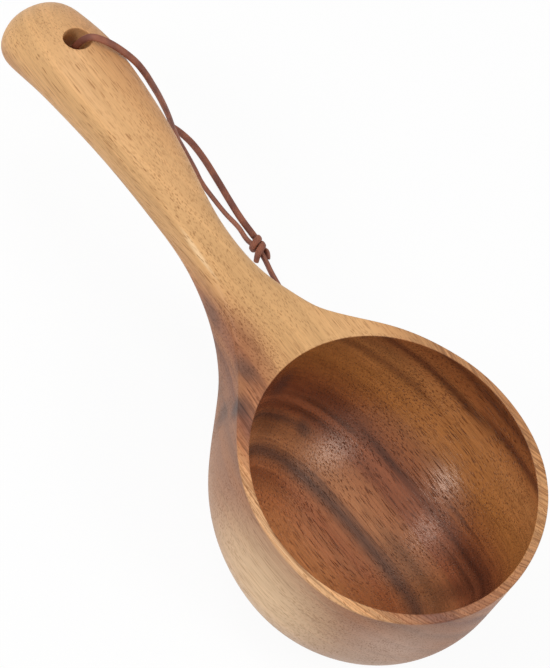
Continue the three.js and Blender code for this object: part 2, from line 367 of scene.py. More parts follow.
# %% Sizes of the bowl and the handle
body_low, body_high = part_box("ladle_body")
RIM_RADIUS = body_high[0] / MM
TIP_AT = -body_low[0] / MM
BOWL_HEIGHT = 57.0
RIM_WIDTH = 3.0
RIM_SLOPE_DROP = 1.2
FOOT_RADIUS = 38.5
FOOT_EDGE = 1.5
WALL_STRAIGHT = 30.0
KNUCKLE_PULL = 7.5
BASE_THICKNESS = 11.0
CAVITY_SQUARENESS = 2.3
WAIST_AT = RIM_RADIUS + 50.0
GRIP_AT = WAIST_AT + 33.0
BUTT_AT = GRIP_AT + 31.0
print("rim radius:", round(RIM_RADIUS, 2), "handle's end:", round(TIP_AT, 2))

# %% Curves that shape the outline
HALVINGS = 40


def bezier(points, share):
    """A point of a Bezier curve, found by drawing its points together in pairs."""
    points = [Vector(point) for point in points]
    while len(points) > 1:
        points = [a.lerp(b, share) for a, b in zip(points, points[1:])]
    return points[0]


def bezier_where(points, measure, wanted):
    """The point of a curve at which a measure that grows along it reaches a wanted value."""
    low, high = 0.0, 1.0
    for _ in range(HALVINGS):
        middle = (low + high) / 2
        if measure(bezier(points, middle)) < wanted:
            low = middle
        else:
            high = middle
    return bezier(points, (low + high) / 2)


def smoothstep(low, high, value):
    share = min(max((value - low) / (high - low), 0.0), 1.0)
    return share * share * (3 - 2 * share)


def mix(a, b, share):
    return a + (b - a) * share


def smooth_run(knots):
    """A smooth line through knots of (place, value), level at both ends."""
    slopes = [0.0]
    for before, after in zip(knots, knots[2:]):
        slopes.append((after[1] - before[1]) / (after[0] - before[0]))
    slopes.append(0.0)

    def value(place):
        place = min(max(place, knots[0][0]), knots[-1][0])
        index = 0
        while index < len(knots) - 2 and place > knots[index + 1][0]:
            index += 1
        (start, low), (end, high) = knots[index], knots[index + 1]
        reach = (end - start) / 3
        controls = [low, low + slopes[index] * reach, high - slopes[index + 1] * reach, high]
        return bezier([(0, control) for control in controls], (place - start) / (end - start)).y

    return value


# %% Outline of the flare and the handle
FLARE_ANGLE = math.radians(63)
FLARE_PULL_BOWL = 34.0
FLARE_PULL_NECK = 52.0
WAIST_HALF_WIDTH = 8.8
WAIST_UNDER = -10.2
LEDGE_DROP = 1.3

flare_start = Vector((RIM_RADIUS * math.cos(FLARE_ANGLE), RIM_RADIUS * math.sin(FLARE_ANGLE)))
FLARE = [
    flare_start,
    flare_start + Vector((math.sin(FLARE_ANGLE), -math.cos(FLARE_ANGLE))) * FLARE_PULL_BOWL,
    (WAIST_AT - FLARE_PULL_NECK, WAIST_HALF_WIDTH),
    (WAIST_AT, WAIST_HALF_WIDTH),
]
# Below are places from the bowl's axis, each with its half width or its height above the rim's level
UNDERSIDE = [(50.5, -39.0), (52.0, -26.0), (WAIST_AT - 10.0, WAIST_UNDER), (WAIST_AT, WAIST_UNDER)]
handle_half_width = smooth_run([
    (WAIST_AT, WAIST_HALF_WIDTH), (GRIP_AT, 11.8), (BUTT_AT, 14.0), (TIP_AT, 14.0),
])
handle_top = smooth_run([
    (0.0, -LEDGE_DROP), (RIM_RADIUS, -LEDGE_DROP), (58.0, -LEDGE_DROP), (72.0, 1.2),
    (WAIST_AT, 5.8), (GRIP_AT, 14.6), (BUTT_AT, 17.4), (TIP_AT, 9.4),
])
handle_under = smooth_run([
    (WAIST_AT, WAIST_UNDER), (GRIP_AT, -6.4), (BUTT_AT, -8.5), (TIP_AT, -14.8),
])
# How much wider the far side is than the near side
far_fullness = smooth_run([
    (RIM_RADIUS, 0.9), (64.0, 0.8), (76.0, 0.4), (98.0, -0.7), (118.0, 0.4), (145.0, 0.1),
    (168.0, 0.0), (TIP_AT, 0.2),
])


def half_width_at(along):
    if along >= WAIST_AT:
        return handle_half_width(along)
    return bezier_where(FLARE, lambda point: point.x, along).y


def underside_at(along):
    if along >= WAIST_AT:
        return handle_under(along)
    return bezier_where(UNDERSIDE, lambda point: point.x, along).y


def flare_reach(turn):
    """How far the flare's outline is from the bowl's axis, at an angle from the handle."""
    point = bezier_where(FLARE, lambda place: -math.atan2(place.y, place.x), -turn)
    return max(RIM_RADIUS, point.length)


print("waist:", WAIST_HALF_WIDTH * 2, "mm wide")

# %% [markdown]
# ### The handle's section
# A cut across the handle is a rounded square: nearly a rectangle where it leaves the rim and nearly an
# oval at the grip. A superellipse gives both with one number, its squareness. The upper half keeps the
# crisp edge of the rim for a while, and the flanks below it are softer. The far side is a little fuller
# near the bowl and slimmer at the waist, as hand carving leaves it. The end is the same section drawn in
# to a point.

# %% Points of the handle's skin
RIM_SQUARENESS = 12.0
FLANK_SQUARENESS = 4.0
WAIST_SQUARENESS_NEAR = 4.4
WAIST_SQUARENESS_FAR = 2.3
HANDLE_SQUARENESS = 2.5
CREST_SQUARENESS = 2.2
EDGE_ROUNDING_START = RIM_RADIUS - 4.0
EDGE_ROUNDING_END = RIM_RADIUS + 30.0
TIP_ROUND = 13.0
TIP_SQUARENESS = 2.6


def handle_section(along):
    """Half width, middle height and half height of a cut across the handle."""
    into_tip = min(max((along - TIP_AT + TIP_ROUND) / TIP_ROUND, 0.0), 1.0)
    size = math.sqrt(1 - into_tip ** TIP_SQUARENESS)
    top = BOWL_HEIGHT + handle_top(along)
    under = BOWL_HEIGHT + underside_at(along)
    return half_width_at(along) * size, (top + under) / 2, (top - under) / 2 * size


def squareness_at(along, face, side):
    """How square a cut is: face is below 0 in its lower half, and side is below 0 on its near side."""
    past_waist = smoothstep(WAIST_AT, GRIP_AT, along)
    if face < 0:
        return mix(FLANK_SQUARENESS, HANDLE_SQUARENESS, smoothstep(RIM_RADIUS, WAIST_AT, along))
    waist = WAIST_SQUARENESS_NEAR if side < 0 else WAIST_SQUARENESS_FAR
    rounding = smoothstep(EDGE_ROUNDING_START, EDGE_ROUNDING_END, along)
    return mix(RIM_SQUARENESS, mix(waist, CREST_SQUARENESS, past_waist), rounding)


def skin_point(along, turn):
    """A point of the handle's skin, at an angle round its middle line."""
    half_width, middle, half_height = handle_section(along)
    if math.cos(turn) > 0:
        half_width *= 1 + far_fullness(along) / half_width_at(along)
    power = squareness_at(along, face=math.sin(turn), side=math.cos(turn))
    reach = (abs(math.cos(turn)) ** power + abs(math.sin(turn)) ** power) ** (-1 / power)
    return Vector((
        -along,
        half_width * math.cos(turn) * reach,
        middle + half_height * math.sin(turn) * reach,
    ))


def skin_height(along, side, face):
    """Height of the handle's skin over (face 1) or under (face -1) a place in plan."""
    half_width, middle, half_height = handle_section(along)
    power = squareness_at(along, face, side)
    share = min(abs(side) / half_width, 1.0)
    return middle + face * half_height * (1 - share ** power) ** (1 / power)


# %% [markdown]
# ### The bowl's profile
# The bowl is turned, so a profile spun about its axis is enough. The profile runs from the middle of the
# foot, up the outside, over the rim and down the hollow. Close rows on both sides of an edge keep it crisp
# when the cage is smoothed. A Screw modifier could turn it too, but a spun cage can be pulled and cut.

# %% Rows of the profile
cavity_radius = RIM_RADIUS - RIM_WIDTH
cavity_depth = BOWL_HEIGHT - BASE_THICKNESS
edge_height = BOWL_HEIGHT - RIM_SLOPE_DROP
KNUCKLE = [
    (FOOT_RADIUS + FOOT_EDGE, FOOT_EDGE),
    (RIM_RADIUS, BOWL_HEIGHT - WALL_STRAIGHT - KNUCKLE_PULL),
    (RIM_RADIUS, BOWL_HEIGHT - WALL_STRAIGHT),
]
OPENING_SHARE = 0.585
KNUCKLE_SHARES = (0.2, 0.4, OPENING_SHARE, 0.79, 1.0)
FOOT_ROWS = (0.0, 18.0, FOOT_RADIUS - 2.5, FOOT_RADIUS)
WALL_HEIGHTS = (33.0, 39.0, 45.0, 51.0, edge_height - 0.9)
OUTER_EDGE = [(RIM_RADIUS, edge_height), (RIM_RADIUS - 0.7, edge_height + 0.28)]
RIM_FLAT = (RIM_RADIUS - RIM_WIDTH / 2, edge_height + RIM_SLOPE_DROP / 2)
INNER_EDGE = [
    (cavity_radius + 0.5, BOWL_HEIGHT - 0.15),
    (cavity_radius, BOWL_HEIGHT - 0.1),
    (cavity_radius, BOWL_HEIGHT - 0.7),
]
HOLLOW_TURNS = (86, 80, 73, 65, 56, 47, 38, 29, 20, 12)


def hollow_point(turn):
    """A point of the hollow, a rounded dish, at an angle up from its bottom."""
    power = 2 / CAVITY_SQUARENESS
    radius = cavity_radius * math.sin(math.radians(turn)) ** power
    depth = cavity_depth * math.cos(math.radians(turn)) ** power
    return radius, BOWL_HEIGHT - depth


profile = [(radius, 0.0) for radius in FOOT_ROWS]
profile.append((FOOT_RADIUS + FOOT_EDGE, FOOT_EDGE))
OPENING_BOTTOM = len(profile) + KNUCKLE_SHARES.index(OPENING_SHARE)
profile += [tuple(bezier(KNUCKLE, share)) for share in KNUCKLE_SHARES]
profile += [(RIM_RADIUS, height) for height in WALL_HEIGHTS]
profile += OUTER_EDGE
OPENING_TOP = len(profile)
profile.append(RIM_FLAT)
profile += INNER_EDGE
profile += [hollow_point(turn) for turn in HOLLOW_TURNS]
profile.append((0, BOWL_HEIGHT - cavity_depth))
print("profile rows:", len(profile))

# %% Spin the bowl
BOWL_STEPS = 48

ladle = bmesh.new()
row_layer = ladle.verts.layers.int.new("row")
start_layer = ladle.verts.layers.float.new("start_turn")
even_layer = ladle.verts.layers.float.new("even_turn")
chain = []
for row, (radius, height) in enumerate(profile):
    vert = ladle.verts.new((-radius, 0.0, height))
    vert[row_layer] = row
    chain.append(vert)
chain_edges = [ladle.edges.new(pair) for pair in zip(chain, chain[1:])]
bmesh.ops.spin(
    ladle,
    geom=chain + chain_edges,
    cent=(0, 0, 0),
    axis=(0, 0, 1),
    angle=2 * math.pi,
    steps=BOWL_STEPS,
    use_merge=True,
)
bmesh.ops.remove_doubles(ladle, verts=ladle.verts, dist=MERGE_DISTANCE)
print("bowl cage:", len(ladle.faces), "faces")

# %% [markdown]
# ### From the bowl to the neck
# Within 63 degrees of the handle the outline leaves the circle, so the wall is pulled out to the flare.
# The pull is full down to the knuckle and fades out above the foot. The bowl was cut by hand, so its
# wall wanders a little from the circle, thin on the near side and fuller on the far side, and its foot
# sits slightly off the middle. Each wander has an amount, the angle from the handle and the drop below
# the edge where it is greatest, each with its reach.

# %% Pull the wall out into the flare
OPENING_HALF_ANGLE = math.radians(30)
FLARE_FULL_TO = 26.0
FLARE_GONE_AT = 48.0
WANDERS = [
    (-1.2, -90, 38, 0, 16), (1.3, 122, 40, 0, 16), (0.3, 80, 40, 0, 16), (0.9, 42, 26, 0, 24),
    (-0.7, -92, 24, 22, 22), (0.8, -52, 30, 22, 22), (0.6, -140, 34, 22, 22),
]
FOOT_SHIFT = Vector((1.8, 0.9, 0.0))
FOOT_SHIFT_BELOW = 28.0


def turn_from_handle(place):
    """The angle of a place round the bowl's axis, from the handle and positive on the far side."""
    return math.atan2(place.y, -place.x)


def wander(turn, drop):
    """How far the hand-cut wall lies outside its circle, at an angle from the handle and a drop."""
    total = 0.0
    for amount, centre, reach, middle, depth in WANDERS:
        round_it = 1 - smoothstep(0.0, reach, abs(math.degrees(turn) - centre))
        down_it = 1 - smoothstep(0.0, depth, abs(drop - middle))
        total += amount * round_it * down_it
    return total


for vert in ladle.verts:
    if vert[row_layer] < OPENING_TOP:
        vert.co += FOOT_SHIFT * (1 - smoothstep(FOOT_SHIFT_BELOW / 3, FOOT_SHIFT_BELOW, vert.co.z))
    if not 0 < vert[row_layer] < OPENING_TOP:
        continue
    turn = turn_from_handle(vert.co)
    drop = edge_height - vert.co.z
    pull = wander(turn, drop)
    if abs(turn) < FLARE_ANGLE:
        reach = flare_reach(max(abs(turn), OPENING_HALF_ANGLE))
        pull += (reach - RIM_RADIUS) * (1 - smoothstep(FLARE_FULL_TO, FLARE_GONE_AT, drop))
    outward = Vector((vert.co.x, vert.co.y, 0.0)).normalized()
    vert.co += outward * pull
print("flare at the opening:", round(flare_reach(OPENING_HALF_ANGLE), 1), "mm from the axis")

# %% Cut the opening for the handle
OPENING_CORNER = math.radians(45)


def in_opening(face):
    """Whether a face of the wall lies where the handle leaves it."""
    rows = [vert[row_layer] for vert in face.verts]
    turn = abs(turn_from_handle(face.calc_center_median()))
    return OPENING_BOTTOM <= min(rows) and max(rows) <= OPENING_TOP and turn < OPENING_HALF_ANGLE


opening = [face for face in ladle.faces if in_opening(face)]
bmesh.ops.delete(ladle, geom=opening, context="FACES")
loop_edges = [edge for edge in ladle.edges if edge.is_boundary]
loop_verts = {vert for edge in loop_edges for vert in edge.verts}
side_rows = OPENING_TOP - OPENING_BOTTOM
middle_height = (edge_height + profile[OPENING_BOTTOM][1]) / 2
half_height = (edge_height - profile[OPENING_BOTTOM][1]) / 2
half_width = flare_reach(OPENING_HALF_ANGLE) * math.sin(OPENING_HALF_ANGLE)
for vert in loop_verts:
    turn = turn_from_handle(vert.co)
    share = turn / OPENING_HALF_ANGLE
    if vert[row_layer] == OPENING_TOP:
        even = math.pi / 2 - share * OPENING_CORNER
    elif vert[row_layer] == OPENING_BOTTOM:
        even = -math.pi / 2 + share * OPENING_CORNER
    else:
        rows_up = (vert[row_layer] - OPENING_BOTTOM) / side_rows
        even = mix(-OPENING_CORNER, OPENING_CORNER, rows_up)
        even = even if turn > 0 else math.pi - even
    start = math.atan2((vert.co.z - middle_height) / half_height, vert.co.y / half_width)
    while start < even - math.pi:
        start += 2 * math.pi
    vert[start_layer] = start
    vert[even_layer] = even
print("opening's rim:", len(loop_verts), "vertices")

# %% [markdown]
# ### The neck, the grip and the end
# A section swept along a curve would have to be joined to the bowl afterwards, so the rim of the opening
# itself is extruded. Each extrusion copies it, and every copied vertex still knows its own angle round the
# handle. The first stations keep the angles of the opening, and by the waist they are spread evenly.
# Stations are given in millimetres from the bowl's axis.

# %% Extrude the handle
HOLE_RADIUS = 4.5
HOLE_BLOCK = 5.6
HOLE_STEP = HOLE_BLOCK / 2
NECK_STATIONS = [58, 63, 69, 76, 84, 93]
GRIP_STATIONS = [WAIST_AT, 112, 123, GRIP_AT, 146, 155, 162]
HOLE_STATIONS = [HOLE_AT + HOLE_STEP * step for step in range(-2, 3)]
TIP_STATIONS = [182.0, 185.5, 188.8, 191.5, 193.5, 194.8, 195.35]

for along in NECK_STATIONS + GRIP_STATIONS + HOLE_STATIONS + TIP_STATIONS:
    ring, loop_edges = extruded(ladle, loop_edges)
    spread = smoothstep(RIM_RADIUS, WAIST_AT, along)
    for vert in ring:
        vert.co = skin_point(along, mix(vert[start_layer], vert[even_layer], spread))
bmesh.ops.contextual_create(ladle, geom=loop_edges)
print("cage with handle:", len(ladle.faces), "faces")

# %% [markdown]
# ### The hanging hole
# A block of four by four faces is taken out of the top of the handle's end and another out of its
# underside. A boolean would leave a ragged rim there. Instead the rims are moved onto circles, drawn in
# step by step to ease the edge, and bridged. Smoothing draws a ring of 16 corners in, so each ring starts
# a little larger.

# %% Open the hole
HOLE_CORNERS = 16
HOLE_MIDDLE_HEIGHT = 60.0
HOLE_RIM_RADIUS = HOLE_BLOCK - 0.1
BLOCK_SLACK = 0.2
SMOOTHED_CIRCLE = (4 + 2 * math.cos(2 * math.pi / HOLE_CORNERS)) / 6
# Each ring's radius and its depth below the skin
HOLE_RINGS = [(4.78, 0.1), (4.56, 0.5), (HOLE_RADIUS, 1.5)]


def in_hole_block(face, face_side):
    """Whether a face lies over the hole (side 1) or under it (side -1)."""
    centre = face.calc_center_median()
    in_plan = abs(centre.x + HOLE_AT) < HOLE_BLOCK and abs(centre.y) < HOLE_BLOCK + BLOCK_SLACK
    return in_plan and face_side * (centre.z - HOLE_MIDDLE_HEIGHT) > 0


def onto_circle(verts, radius, face, depth):
    """Move a ring of vertices onto a circle round the hole, a depth below the skin."""
    for vert in verts:
        from_centre = Vector((vert.co.x + HOLE_AT, vert.co.y)).normalized() * radius
        along = HOLE_AT - from_centre.x
        height = skin_height(along, from_centre.y, face) - face * depth
        vert.co = (-along, from_centre.y, height)


rims = []
for face_side in (1, -1):
    hole_faces = [face for face in ladle.faces if in_hole_block(face, face_side)]
    bmesh.ops.delete(ladle, geom=hole_faces, context="FACES")
    rim_edges = [edge for edge in ladle.edges if edge.is_boundary and edge not in rims]
    rim_verts = {vert for edge in rim_edges for vert in edge.verts}
    onto_circle(rim_verts, HOLE_RIM_RADIUS, face_side, 0.0)
    for radius, depth in HOLE_RINGS:
        ring, rim_edges = extruded(ladle, rim_edges)
        onto_circle(ring, radius / SMOOTHED_CIRCLE, face_side, depth)
    rims += rim_edges
bmesh.ops.bridge_loops(ladle, edges=rims)
ladle_wood = finished(ladle, "ladle_wood", levels=2)
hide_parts("ladle_body")
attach(ladle_wood, "ladle")

# %% [markdown]
# ## Writing materials as sums
# A material is a graph of nodes, and most of them are plain arithmetic. The class below wraps one output
# socket and lets Python's own operators add the Math nodes, so that a mask reads like a formula. Colours
# and places have three numbers, so they go through Mix and Vector Math nodes instead.

# %% A socket that can be reckoned with
NOISE_MIDDLE = 0.5
MIX_FIRST_COLOUR, MIX_SECOND_COLOUR, MIXED_COLOUR = 6, 7, 2


class Signal:
    """One output of a node tree, with the arithmetic of its Math nodes."""

    def __init__(self, tree, socket=None):
        self.tree = tree
        self.socket = socket

    def node(self, kind, inputs=(), output=0, stops=(), **settings):
        """Add any node: its settings first, then the values or links of its sockets."""
        made = self.tree.nodes.new(kind)
        for name, value in settings.items():
            setattr(made, name, value)
        if stops:
            elements = made.color_ramp.elements
            while len(elements) < len(stops):
                elements.new(1.0)
            for element, (place, tone) in zip(elements, stops):
                element.position = place
                element.color = tone
        pairs = inputs.items() if isinstance(inputs, dict) else enumerate(inputs)
        for key, value in pairs:
            if isinstance(value, Signal):
                self.tree.links.new(value.socket, made.inputs[key])
            else:
                made.inputs[key].default_value = value
        return Signal(self.tree, made.outputs[output])

    def math(self, operation, *others):
        return self.node("ShaderNodeMath", (self, *others), operation=operation)

    def __add__(self, other):
        return self.math("ADD", other)

    def __sub__(self, other):
        return self.math("SUBTRACT", other)

    def __rsub__(self, other):
        return self.node("ShaderNodeMath", (other, self), operation="SUBTRACT")

    def __mul__(self, other):
        return self.math("MULTIPLY", other)

    def __truediv__(self, other):
        return self.math("DIVIDE", other)

    __radd__ = __add__
    __rmul__ = __mul__

    def step(self, low, high):
        """A soft step from 0 at low to 1 at high. It falls where low is above high."""
        inputs = {"Value": self, "From Min": low, "From Max": high}
        if low > high:
            inputs = {"Value": self, "From Min": high, "From Max": low, "To Min": 1.0, "To Max": 0.0}
        return self.node("ShaderNodeMapRange", inputs, interpolation_type="SMOOTHSTEP")

    def bell(self, centre, width):
        """A soft bump that is 1 at the centre and 0 a width away on each side."""
        return (self - centre).math("ABSOLUTE").step(width, 0.0)

    def noise(self, scale, detail, roughness=0.5):
        """Noise at this place, from 0 to 1."""
        inputs = {"Vector": self, "Scale": scale, "Detail": detail, "Roughness": roughness}
        return self.node("ShaderNodeTexNoise", inputs)

    def swing(self):
        """A noise as a swing to both sides of 0."""
        return self - NOISE_MIDDLE

    def stretched(self, x, y, z):
        """This place or colour, with each of its three numbers multiplied by its own factor."""
        return self.node("ShaderNodeVectorMath", (self, (x, y, z)), operation="MULTIPLY")

    def scaled(self, factor):
        """This colour, made darker or lighter by a factor."""
        return self.node("ShaderNodeVectorMath", (self, factor), operation="MULTIPLY")

    def blend(self, first, second):
        """Two colours mixed by this signal: the first where it is 0 and the second where it is 1."""
        inputs = {"Factor": self, MIX_FIRST_COLOUR: first, MIX_SECOND_COLOUR: second}
        return self.node("ShaderNodeMix", inputs, output=MIXED_COLOUR, data_type="RGBA")


def colour(red, green, blue):
    """A colour as seen on screen, from 0 to 255, made linear for the shader by the sRGB curve."""
    def linear(channel):
        share = channel / 255
        return share / 12.92 if share <= 0.04045 else ((share + 0.055) / 1.055) ** 2.4
    return (linear(red), linear(green), linear(blue), 1.0)


def new_material(name):
    """A new material, a signal that adds nodes to its tree, and its shader."""
    material = bpy.data.materials.new(name)
    material.use_nodes = True
    tree = material.node_tree
    surface = tree.nodes["Principled BSDF"]
    return material, Signal(tree), surface


def connect(signal, surface, socket):
    signal.tree.links.new(signal.socket, surface.inputs[socket])


# %% [markdown]
# ## The wood
# The block was sawn so that its growth layers lie in slanted sheets: a streak that crosses the bowl's
# floor is the same sheet that shows on the rim, on the wall and on the neck. A texture painted on the
# surface would miss that, so the figure is a solid one. It reads the place in the block, in millimetres.
# The number called layer tells which sheet a point lies in. The colours below go from sheet to sheet, for
# the hollow, which is darker partly because it is oiled and partly as painted shade, for the paler outside
# and for the rim. The streaks are single sheets that are darker. Most stains are the wood's own marks, and
# the others are painted shade in the hollow, painted sheen on the outer wall, one patch of it over pale
# sapwood, and a painted highlight along the handle's crest.

# %% Colours of the growth layers
# The hollow's colours are darker partly because the wood is oiled and partly as painted shade.
HOLLOW_LAYERS = [
    (-20, colour(206, 146, 92)), (-2, colour(198, 130, 82)), (8, colour(168, 100, 62)),
    (22, colour(190, 129, 86)), (31, colour(168, 108, 70)), (36, colour(138, 80, 52)),
    (42, colour(150, 89, 59)), (48, colour(114, 63, 41)), (56, colour(142, 84, 48)),
    (70, colour(168, 109, 57)), (90, colour(187, 127, 75)), (104, colour(158, 98, 56)),
    (118, colour(130, 78, 44)),
]
OUTER_LAYERS = [
    (-14, colour(188, 152, 126)), (0, colour(172, 128, 99)), (10, colour(160, 115, 88)),
    (17, colour(160, 110, 78)), (24, colour(138, 96, 72)), (30, colour(154, 104, 74)),
    (38, colour(124, 78, 56)), (42, colour(168, 112, 74)), (47, colour(150, 95, 64)),
    (52, colour(170, 112, 74)), (58, colour(196, 144, 96)), (66, colour(212, 163, 109)),
    (78, colour(217, 169, 115)), (94, colour(219, 169, 116)), (104, colour(202, 148, 98)),
    (118, colour(172, 122, 80)),
]
RIM_LAYERS = [
    (14, colour(222, 172, 124)), (24, colour(214, 158, 108)), (30, colour(180, 118, 76)),
    (35, colour(134, 82, 60)), (39, colour(122, 75, 57)), (43, colour(174, 116, 80)),
    (50, colour(164, 106, 72)), (60, colour(180, 122, 82)), (75, colour(190, 134, 90)),
    (90, colour(201, 147, 97)), (105, colour(203, 149, 98)), (118, colour(186, 130, 83)),
]
SLATE = colour(72, 55, 52)
UMBER = colour(66, 34, 24)
PLUM = colour(76, 40, 30)

# %% Streaks in the hollow: layer, half width, strength, colour, and where they start and stop
STREAKS = [
    (8.0, 5.0, 0.35, UMBER, -60, -26),
    (16.2, 5.6, 0.80, SLATE, -70, 70),
    (24.0, 9.0, 0.54, UMBER, 8, 70),
    (26.0, 9.0, 0.40, UMBER, -70, -36),
    (31.5, 3.6, 0.75, SLATE, -70, -36),
    (37.6, 2.6, 0.75, UMBER, -44, -30),
    (40.0, 2.6, 0.55, UMBER, 24, 70),
    (44.0, 2.6, 0.70, UMBER, -44, -22),
    (47.4, 2.8, 0.75, UMBER, -22, -2),
    (47.0, 2.4, 0.30, UMBER, -2, 20),
    (46.0, 2.8, 0.65, UMBER, 22, 70),
    (45.0, 11.0, 0.52, UMBER, 26, 70),
    (55.5, 2.2, 0.55, UMBER, 12, 30),
    (84.0, 4.0, 0.55, PLUM, -70, -18),
    (92.0, 8.0, 0.40, PLUM, -70, -28),
    (98.0, 4.6, 0.75, PLUM, -70, 0),
    (102.0, 4.6, 0.75, PLUM, 0, 70),
    (112.0, 4.0, 0.60, PLUM, -70, 70),
]
STREAK_FADE = 9.0

# %% Single stains, painted shade, sheen and a highlight: place in the block, reach along X, Y and Z, strength and colour
VIOLET = colour(96, 68, 58)
RUST = colour(138, 82, 56)
# A pale sapwood colour, also carrying painted sheen
SAPWOOD_AND_SHEEN = colour(232, 198, 156)
# A greyish pale colour for painted sheen
PAINTED_WALL_SHEEN = colour(206, 180, 164)
# A pale colour for a painted highlight
PAINTED_CREST_HIGHLIGHT = colour(246, 208, 160)
OUTER_STAINS_AND_LIGHT = [
    # Pale sapwood on the near wall, with painted sheen on it
    ((4.0, -51.0, 33.0), (40.0, 20.0, 34.0), 0.75, SAPWOOD_AND_SHEEN),
    # Painted sheen on the near front of the outer wall
    ((42.0, -30.0, 36.0), (24.0, 24.0, 26.0), 0.45, PAINTED_WALL_SHEEN),
    ((-55.4, -18.4, 55.6), (10.0, 5.0, 6.0), 0.75, VIOLET),
    ((-78.0, -11.5, 49.0), (12.0, 6.0, 6.5), 0.60, VIOLET),
    ((-64.7, -12.0, 56.4), (19.0, 10.0, 10.0), 0.50, RUST),
    ((-46.5, -29.2, 54.0), (8.0, 4.6, 9.0), 0.80, SLATE),
    ((-49.4, -26.4, 40.0), (8.0, 4.6, 13.0), 0.55, SLATE),
    # A painted highlight along the crest of the handle's near side
    ((-95.0, -7.8, 60.2), (15.0, 0.9, 3.0), 0.80, PAINTED_CREST_HIGHLIGHT),
]
HOLLOW_STAINS_AND_SHADE = [
    ((-47.2, -4.0, 43.0), (12.0, 8.0, 8.0), 0.60, SLATE),
    ((-35.0, 4.6, 22.5), (9.0, 4.5, 4.5), 0.60, SLATE),
    # Painted shade low in the front of the hollow
    ((38.0, 9.0, 27.0), (13.0, 9.0, 13.0), 0.55, UMBER),
    # Painted shade on the hollow's near wall, on the handle's side
    ((-42.0, -9.0, 32.0), (9.0, 13.0, 15.0), 0.32, UMBER),
]
print("streaks:", len(STREAKS), "stains:", len(OUTER_STAINS_AND_LIGHT) + len(HOLLOW_STAINS_AND_SHADE))

# %% Place in the block, in millimetres
WARM_SHEEN = (1.0, 0.84, 0.72, 1.0)
SHEEN_LEVEL = 0.43

acacia_wood, wood_tree, wood_surface = new_material("acacia_wood")
wood_surface.inputs["Specular Tint"].default_value = WARM_SHEEN
wood_surface.inputs["Specular IOR Level"].default_value = SHEEN_LEVEL
block = wood_tree.node("ShaderNodeTexCoord", output="Object").stretched(1 / MM, 1 / MM, 1 / MM)
x, y, z = (wood_tree.node("ShaderNodeSeparateXYZ", (block,), output=axis) for axis in "XYZ")
radius = (x * x + y * y).math("SQRT")

# %% Where the surface is: in the hollow, on the flat of the rim, or on the grip
HOLLOW_EDGE_FADE = (1.005, 0.997)
HOLLOW_WALL_FADE = (1.35, 1.15)
RIM_HEIGHT_FADE = (BOWL_HEIGHT - 2.2, BOWL_HEIGHT - 1.4)
RIM_OUTSIDE_FADE = (RIM_RADIUS + 4, RIM_RADIUS + 1)
GRIP_FADE = (-72, -120)

depth = (BOWL_HEIGHT - z).math("MAXIMUM", 0.0) / cavity_depth
across = radius / cavity_radius
hollow_fit = across.math("POWER", CAVITY_SQUARENESS) + depth.math("POWER", CAVITY_SQUARENESS)
inside = across.step(*HOLLOW_EDGE_FADE) * hollow_fit.step(*HOLLOW_WALL_FADE)
rim_top = z.step(*RIM_HEIGHT_FADE) * radius.step(*RIM_OUTSIDE_FADE)
on_grip = x.step(*GRIP_FADE)
print("nodes that find the place:", len(wood_tree.tree.nodes))

# %% [markdown]
# ### Growth layers
# The layers are flat sheets that bend up at the front of the bowl and waver a little. Where the neck's
# pale layers begin, the rim's own colours stop. Lines along the layers come from noise that is read with
# the layer's number in place of a height. Thin dark lines lie where a slow noise crosses its middle.

# %% The number of the layer
LAYER_SLANT = 1.2
LAYER_BEND = 0.0038
LAYER_BEND_FROM = -5.0
SLOW_WAVER = 2.4
QUICK_WAVER = 1.4
NECK_FADE = (-24, -38)
NECK_LAYER_FADE = (44, 54)


def blots(place, length, width, detail=1.0, roughness=0.5):
    """Noise in blots of a length along the grain and a width across it, in millimetres."""
    return place.stretched(1 / length, 1 / width, 1 / width).noise(1.0, detail, roughness)


front = (x - LAYER_BEND_FROM).math("MAXIMUM", 0.0)
sheet = y + z * LAYER_SLANT - front * front * LAYER_BEND
slow = blots(block, length=60, width=22)
quick = blots(block, length=40, width=6, detail=2.0)
layer = sheet + slow.swing() * SLOW_WAVER + quick.swing() * QUICK_WAVER
on_neck = x.step(*NECK_FADE) * layer.step(*NECK_LAYER_FADE)
on_rim = rim_top * (1 - inside) * (1 - on_neck)

# %% Lines along the layers
SIDEWAYS_REACH = 30
THIN_LINE_WIDTH = 0.03
RIM_LINE_WIDTH = 0.08
PATCH_FADE = (0.45, 0.62)

sideways = (y * LAYER_SLANT - z) / SIDEWAYS_REACH


def layer_lines(length, thickness, detail, roughness=0.5, crossing=1):
    """Noise in lines along the layers, about this long and thick, in millimetres."""
    place = (x / length, layer / thickness, sideways * crossing)
    return wood_tree.node("ShaderNodeCombineXYZ", place).noise(1.0, detail, roughness)


fine = layer_lines(length=60, thickness=0.8, detail=3.0, roughness=0.65)
bold = layer_lines(length=110, thickness=4.5, detail=2.0, roughness=0.55)
thin_noise = layer_lines(length=120, thickness=2.4, detail=1.0, crossing=2)
rim_noise = layer_lines(length=90, thickness=1.2, detail=1.0)
rim_lines = rim_noise.bell(NOISE_MIDDLE, RIM_LINE_WIDTH)
patches = blots(block, length=30, width=14).step(*PATCH_FADE)
thin_lines = thin_noise.bell(NOISE_MIDDLE, THIN_LINE_WIDTH) * patches
print("nodes with layers and lines:", len(wood_tree.tree.nodes))

# %% The hollow, darker partly because it is oiled and partly as painted shade
LAYER_LOW, LAYER_HIGH = -60.0, 140.0
FINE_FRAY = 4
BOLD_FRAY = 8
STREAK_FRAY = 3


